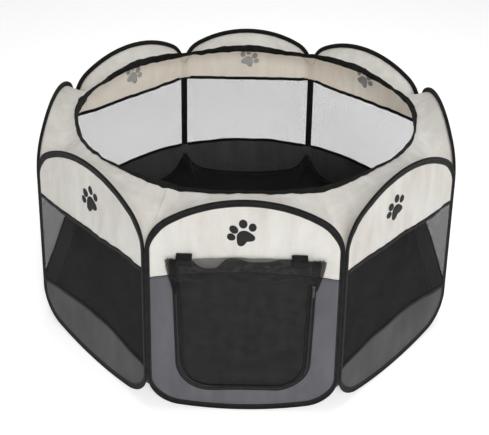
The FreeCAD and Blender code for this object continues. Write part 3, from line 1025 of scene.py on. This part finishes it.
def rim_tape(index):
    """Black tape folded over the edge of the top opening, gathered so that it twists a little."""
    steps, sides = 72, 14
    verts, uvs = [], []
    for k in range(steps + 1):
        azimuth = TURN * index + (2 * k / steps - 1) * HALF_TURN
        centre, out = rim_centreline(azimuth), around(azimuth, 1.0)
        c, s = math.cos(azimuth), math.sin(azimuth)
        tall = 0.0098 + 0.0026 * grain(c, s, 2.0, 0.11)
        thick = 0.0024 + 0.0008 * grain(c, s, 8.0, 0.05)
        twist = -0.50 * math.cos(8 * azimuth) + 0.5 * grain(c, s, 5.0, 0.13)
        for j in range(sides):
            angle = 2 * math.pi * j / sides
            a, b = tall * math.cos(angle), thick * math.sin(angle)
            rise = a * math.cos(twist) - b * math.sin(twist)
            reach = a * math.sin(twist) + b * math.cos(twist)
            verts.append(centre + Vector((0, 0, rise)) - out * reach)
            uvs.append((tall * angle, azimuth * RIM_HALF_DEPTH))
    name = PANEL_NAMES[index]
    tape = new_piece("rim_tape_" + name, verts, tube_faces(steps + 1, sides), MAT["tape"], uvs)
    settle(tape, body_of_panel(index), "roof_panel_" + name)
    gather(tape)


# ---------------------------------------------------------------- floor

FLOOR_LOWEST = 0.0011
FLOOR_RISE_WIDTH = 0.170       # how far in from its sewn edge the floor starts to rise


def floor_edge(index, fraction):
    """The floor's sewn edge: along the foot of the hoop and up its corner to the seam."""
    u, v = walk_arcs(("bottom", "corner"), min(1.0, abs(fraction) / 0.94), 0.006)
    return sewn_edge(index, fraction, (u, v, -0.003), GUSSET_HEIGHT, 0.004)


def floor_cloth(index):
    """The panel's share of the waterproof floor, rising at its corners."""
    def place(outward, across):
        share = outward ** 0.8
        edge = floor_edge(index, 2 * across - 1)
        x, y = edge.x * share, edge.y * share
        out_by = (1 - share) * math.hypot(edge.x, edge.y)
        rise = (edge.z - FLOOR_LOWEST) * (1 - smoothstep(out_by / FLOOR_RISE_WIDTH)) ** 1.6
        crease = 0.0016 + lumps(x, y, (0.0022, 2.0, 0.09), (0.0010, 7.0, 0.03))
        loose = smoothstep(out_by / 0.03) * smoothstep((1 - out_by / 0.56) / 0.02 + 0.2)
        point = Vector((x, y, FLOOR_LOWEST + rise + max(0.0, crease) * loose))
        local = turn_about_z(point, -TURN * index)
        return point, (local.x, local.y)

    name = PANEL_NAMES[index]
    sheet, cut = grid_piece("floor_cloth_" + name, 40, 49, MAT["floor"], place)
    cloth_sheet(sheet, index, "black_oxford", "floor_panel_" + name, sheet_area(sheet))
    gather(sheet)


# ---------------------------------------------------------------- paw prints

PAW_TURN = math.radians(28)
PAW_PLACES = {"front": (-0.001, 0.499), "front_left": (0.018, 0.484), "front_right": (-0.034, 0.488)}
PAW_PLACE = (0.0, 0.474)
TOES = [(149, 0.0290, 0.0086, 0.0096), (111, 0.0312, 0.0090, 0.0108), (68, 0.0350, 0.0090, 0.0110),
        (29, 0.0305, 0.0084, 0.0100)]     # direction, reach from the pad's centre, half width, half length
# Direction, height and spread in degrees of each lobe, and of the hollow between the lower two
PAD_LOBES = [(90, 0.0035, 40), (216, 0.0080, 25), (324, 0.0075, 25), (270, -0.0060, 26)]
PAD_RADIUS = 0.0158
TOE_POINTS, PAD_POINTS = 28, 64
PAW_LOOKS = {OUTSIDE: ("print", "ink", "black_tape"), INSIDE: ("shadow", "ghost", "beige_oxford")}


def toe_outline(degrees, reach, half_wide, half_long):
    angle = math.radians(degrees)
    middle = (reach * math.cos(angle), reach * math.sin(angle))
    turn = (angle - math.pi / 2) * 0.45
    outline = []
    for k in range(TOE_POINTS):
        t = 2 * math.pi * k / TOE_POINTS
        x, y = half_wide * math.cos(t), half_long * math.sin(t)
        outline.append((middle[0] + x * math.cos(turn) - y * math.sin(turn),
                        middle[1] + x * math.sin(turn) + y * math.cos(turn)))
    return middle, outline


def pad_outline():
    """The pad: a circle with three soft lobes and a hollow between the two lower ones."""
    outline = []
    for k in range(PAD_POINTS):
        degrees = 360 * k / PAD_POINTS
        radius = PAD_RADIUS
        for direction, height, spread in PAD_LOBES:
            apart = (degrees - direction + 180) % 360 - 180
            radius += height * math.exp(-0.5 * (apart / spread) ** 2)
        angle = math.radians(degrees)
        outline.append((radius * math.cos(angle), radius * math.sin(angle)))
    return (0.0, 0.0), outline


def paw_print(index, face):
    """A paw printed on the upper cloth: ink outside, its shadow through the cloth inside."""
    name = PANEL_NAMES[index]
    place = PAW_PLACES.get(name, PAW_PLACE)
    rings = (0.35, 0.7, 1.0)
    lift = CLOTH_THICKNESS / 2 + 0.0004
    turn_c, turn_s = math.cos(PAW_TURN), math.sin(PAW_TURN)

    def printed(x, y):
        u = place[0] + x * turn_c - y * turn_s
        v = place[1] + x * turn_s + y * turn_c
        return on_panel(index, u, v, cloth_relief(index, u, v) + face * lift), (u, v)

    parts = []
    for middle, outline in [toe_outline(*toe) for toe in TOES] + [pad_outline()]:
        placed = [printed(*middle)]
        for ring in rings:
            placed += [printed(*between(middle, point, ring)) for point in outline]
        count = len(outline)
        faces = [(0, 1 + k, 1 + (k + 1) % count) for k in range(count)]
        for r in range(len(rings) - 1):
            first, second = 1 + r * count, 1 + (r + 1) * count
            faces += [(first + k, second + k, second + (k + 1) % count, first + (k + 1) % count)
                      for k in range(count)]
        parts.append(([point for point, _ in placed], faces, [uv for _, uv in placed]))
    label, ink, slot = PAW_LOOKS[face]
    paw = joined_piece("paw_" + label + "_" + name, parts, MAT[ink])
    thicken(paw, 0.0003)
    settle(paw, body_of_panel(index))


# ---------------------------------------------------------------- door

def door_relief(u, v):
    """Loose mesh in the doorway: it bellies out and carries long soft folds from its top corners."""
    inside = max(0.0, min(DOOR_HALF_WIDTH - abs(u), v - DOOR_BOTTOM, DOOR_TOP - v + 0.02))
    belly = 0.006 * smoothstep(inside / 0.08)
    folds = 0.0030 * grain(u + 0.35 * v, v * 0.25, 4.0, 0.055)
    folds += 0.0022 * grain(u - 0.5 * v, v * 0.2, 9.0, 0.04)
    return belly + folds * smoothstep(inside / 0.05)


def door_cloth():
    """Mesh door: one sheet with its sewn edge piping, hung by its top edge."""
    def place(up, across):
        v = DOOR_BOTTOM + (DOOR_TOP - DOOR_BOTTOM) * up
        drop = max(0.0, DOOR_BOTTOM + DOOR_CORNER - v)
        reach = DOOR_HALF_WIDTH - DOOR_CORNER + math.sqrt(max(0.0, DOOR_CORNER ** 2 - drop ** 2))
        u = reach * (2 * across - 1)
        return on_front(u, v, 0.0004 + door_relief(u, v)), (u, v)

    door, _ = grid_piece("door_mesh_sheet", 60, 61, MAT["door mesh"], place)
    piping = door_piping()
    settle(door, "door", "door_mesh")


def door_piping():
    """Bound edge of the mesh door, down both sides and along the bottom."""
    line = [on_front(u, v, 0.0014) for (u, v), _ in door_outline(-0.0028, 0.006)]
    piping = tube_piece("door_edge_binding", line, 0.0026, 10, panel_normal(FRONT), MAT["tape"])
    settle(piping, "door")
    return piping


def door_zip():
    """Zip tape and its row of teeth round the doorway."""
    line = [point for point, _ in door_outline(0.0075, 0.006)]
    ribbon_on_panel("door_zip_cloth_tape", FRONT, line, 0.0010, wave=0.0, node_name="door_zip_tape")
    pitch, lift = 0.0030, 0.0019
    parts = []
    for (u, v), out in door_outline(0.0055, pitch):
        middle = on_front(u, v, cloth_relief(FRONT, u, v) + lift)
        across = (on_front(u + out[0], v + out[1]) - on_front(u, v)).normalized()
        parts.append(stitch(middle, across, panel_normal(FRONT), *ZIP_TOOTH))
    teeth = joined_piece("door_zip_teeth", parts, MAT["teeth"])
    settle(teeth, FRONT_BODY)


def valance_top(u):
    """Upper edge of the loose mesh over the door: height along the panel."""
    return 0.4500 - 1.05 * (u - 0.01) ** 2 * 0.28 + 0.0020 * grain(u, 1.0, 1.0, 0.04)


def valance_swag(u):
    """How far the front layer's upper edge dips, where one layer alone shows the cloth behind."""
    left = 0.024 * math.exp(-((u + 0.078) / 0.030) ** 4)
    right = 0.009 * math.exp(-((u - 0.030) / 0.038) ** 4)
    return left + right


def loose_mesh(name, left, right, dip, low, depth, seed, net):
    """One layer of loose mesh lying in soft folds over the top of the doorway."""
    def place(drop, across):
        u = left + (right - left) * across
        top = valance_top(u) - dip * valance_swag(u)
        hem = low + 0.004 * grain(u, seed, 0.0, 0.05)
        v = top + (hem - top) * drop
        along = u * 0.55 + (v - 0.42) * (1.4 if u < 0 else -1.4)
        folds = 0.0042 * grain(along, seed, v * 0.4, 0.017) + 0.0030 * grain(u, v * 2.2, seed, 0.030)
        crease = 0.0022 * grain(u * 0.5 + v, seed + 3, 0.0, 0.010)
        n = depth + 0.0030 * math.sin(math.pi * drop) + (folds + crease) * smoothstep(0.25 + drop)
        return on_front(u, v, max(depth * 0.35, n)), (u, v)

    layer, cut = grid_piece(name, 30, 120, MAT[net], place)
    tuple(on_front(0, DOOR_TOP + 0.008))
    tuple(on_front(0, DOOR_TOP - 0.008))
    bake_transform(layer)


BUNCH_TOP = 0.4470


def bunched_end(name, pleats, top_u, low_u, low_v, seed):
    """Mesh gathered into standing pleats at one top corner of the doorway, tapering as it falls."""
    def place(drop, across):
        side = 2 * across - 1
        centre = top_u + (low_u - top_u) * drop ** 1.4 + 0.0018 * grain(drop, seed, 0.0, 0.35)
        v = BUNCH_TOP + (low_v - BUNCH_TOP) * drop
        half = 0.0105 * (1 - 0.62 * smoothstep(drop)) + 0.0010 * grain(drop, seed, 4.0, 0.2)
        depth = 0.0042 * (1 - 0.55 * drop) * (0.55 + 0.45 * smoothstep(drop / 0.15))
        wave = math.cos(side * math.pi * pleats + 0.8 * grain(drop, seed, 8.0, 0.25))
        crumple = 0.0011 * grain(side * 0.3, drop * 0.5, seed, 0.06)
        n = 0.0062 + depth * wave + crumple + 0.0018 * math.sin(math.pi * drop)
        return on_front(centre + side * half, v - 0.004 * side * side, n), (side * 0.03, v)

    bunch, cut = grid_piece(name, 26, 12 * pleats + 1, MAT["gathered mesh"], place)
    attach(bunch, FRONT_BODY)


def door_valance():
    """Loose mesh over the doorway's top: two layers, and pleats bunched up at both ends."""
    loose_mesh("door_loose_top_under", -0.158, 0.162, 0.0, 0.392, 0.0028, 2.0, "door mesh")
    loose_mesh("door_loose_top_over", -0.166, 0.166, 1.0, 0.386, 0.0062, 7.0, "gathered mesh")
    bunched_end("door_bunch_left", 3, -0.1640, -0.1560, 0.352, 3.0)
    bunched_end("door_bunch_left_under", 2, -0.1540, -0.1520, 0.368, 6.0)
    bunched_end("door_bunch_right", 3, 0.1690, 0.1590, 0.366, 11.0)
    bunched_end("door_bunch_right_under", 2, 0.1580, 0.1560, 0.378, 15.0)


STRAP_TOP, STRAP_BOTTOM, STRAP_HALF_WIDTH = 0.4585, 0.4310, 0.0175
STRAP_PLACES = ((-0.132, -0.03), (0.120, 0.05))     # centre across the panel, and how much each one slants
STRAP_STITCHES = 9             # in each row
STRAP_ROWS = ((0.0020, 0.0), (0.0062, 0.0008))      # its rows of stitches: down from the top, and extra lift


def door_straps():
    """Tie straps over the door's top: folded webbing with a sewn box at the hem."""
    parts, threads = [], []
    along = on_front(1, 0) - on_front(0, 0)
    for centre, slant in STRAP_PLACES:
        def place(down, across):
            side = 2 * across - 1
            u = centre + side * STRAP_HALF_WIDTH + slant * (down - 0.2) * 0.05
            v = STRAP_TOP + (STRAP_BOTTOM - STRAP_TOP) * down + 0.0008 * grain(u, down, 2.0, 0.02)
            bulge = 0.0115 * smoothstep(down / 0.45) + 0.0008 * side * side + 0.0012 * math.sin(down * 5)
            return on_front(u, v, 0.0022 + bulge), (u, v)

        parts.append(grid_part(22, 12, place))
        for k in range(STRAP_STITCHES):
            u = centre + (2 * k / (STRAP_STITCHES - 1) - 1) * (STRAP_HALF_WIDTH - 0.003)
            for down, lift in STRAP_ROWS:
                middle = on_front(u, STRAP_TOP - down, 0.0040 + lift)
                threads.append(stitch(middle, along, panel_normal(FRONT), *STRAP_THREAD))
    straps = joined_piece("door_tie_straps", parts, MAT["tape"])
    thicken(straps, 0.0016)
    settle(straps, FRONT_BODY, "door_straps")
    sewing = joined_piece("door_strap_stitching", threads, MAT["black thread"])
    settle(sewing, FRONT_BODY)


# ---------------------------------------------------------------- the CAD's own pieces, stage, light, camera

STAGE_REACH = 14.0
WHITE = (1.0, 1.0, 1.0, 1)
LENS = 51.092025               # for a sensor 36 mm wide


def finish_cad_nodes():
    """Better materials for the CAD nodes that stay."""
    for name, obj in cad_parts.items():
        if name.startswith("spring_wire"):
            mat = MAT["wire"]
        elif name.startswith("zip_"):
            mat = MAT["enamel"]
        else:
            mat = MAT["tape"]
        for slot in obj.material_slots:
            slot.material = mat


def stage():
    """White floor, lit a little by itself so that it meets the white background."""
    mesh = bpy.data.meshes.new("studio_floor")
    corners = [(x * STAGE_REACH, y * STAGE_REACH, 0) for x, y in ((-1, -1), (1, -1), (1, 1), (-1, 1))]
    mesh.from_pydata(corners, [], [(0, 1, 2, 3)])
    floor = bpy.data.objects.new("studio_floor", mesh)
    bpy.context.scene.collection.objects.link(floor)
    mat, tree, shader = material("studio floor")
    tint(tree, shader, object_noise(tree, 0.6, 2.0), 0.0, (0.90, 0.90, 0.90), 1.0, (0.93, 0.93, 0.93))
    set_inputs(shader, {"Roughness": 0.9, "Emission Color": WHITE, "Emission Strength": 0.52})
    mesh.materials.append(mat)
    floor.location.z = -0.0008


def area_light(name, place, target, size, power):
    data = bpy.data.lights.new(name, "AREA")
    data.shape = "SQUARE"
    data.size = size
    data.energy = power
    lamp = bpy.data.objects.new(name, data)
    lamp.location = place
    lamp.rotation_euler = (Vector(target) - Vector(place)).to_track_quat("-Z", "Y").to_euler()
    bpy.context.scene.collection.objects.link(lamp)


def light():
    """Soft white studio: an even surround, a broad key from the door side, and light from overhead."""
    world = bpy.data.worlds.new("studio")
    bpy.context.scene.world = world
    world.use_nodes = True
    background = world.node_tree.nodes["Background"]
    set_inputs(background, {"Color": WHITE, "Strength": 0.26})
    area_light("key", (0.7, -3.6, 2.7), (0, 0, 0.30), size=1.3, power=77)
    area_light("overhead", (0.2, 0.4, 4.2), (0, 0.1, 0.0), size=2.2, power=50)
    view = bpy.context.scene.view_settings
    view.view_transform = "Standard"
    view.look = "None"
    view.exposure = 0.0


CAMERA_PLACE = (-0.0035, -2.795, 2.233)     # in corner radii
CAMERA_PITCH, CAMERA_ROLL = math.radians(34.62), math.radians(0.95)


def camera():
    """Standing in front of the door and looking down into the pen."""
    data = bpy.data.cameras.new("camera")
    data.sensor_width = 36.0
    data.lens = LENS
    data.clip_end = 60
    cam = bpy.data.objects.new("camera", data)
    cam.location = [share * CORNER_RADIUS for share in CAMERA_PLACE]
    aim = Matrix.Rotation(math.pi / 2 - CAMERA_PITCH, 4, "X") @ Matrix.Rotation(CAMERA_ROLL, 4, "Z")
    cam.rotation_euler = aim.to_euler()
    bpy.context.scene.collection.objects.link(cam)
    bpy.context.scene.camera = cam


# ---------------------------------------------------------------- the whole pen

camera()
light()
stage()
finish_cad_nodes()
for panel_index, panel_name in enumerate(PANEL_NAMES):
    hoop_tape(panel_index)
    hoop_stitches(panel_index)
    seam_strip(panel_index)
    corner_linings(panel_index)
    roof_cloth(panel_index)
    rim_tape(panel_index)
    floor_cloth(panel_index)
    if panel_name == "front":
        front_upper()
        door_surround()
    else:
        side_panel_cloth(panel_index)
        window_bindings(panel_index)
    paw_print(panel_index, OUTSIDE)
    paw_print(panel_index, INSIDE)
door_cloth()
door_zip()
door_valance()
door_straps()
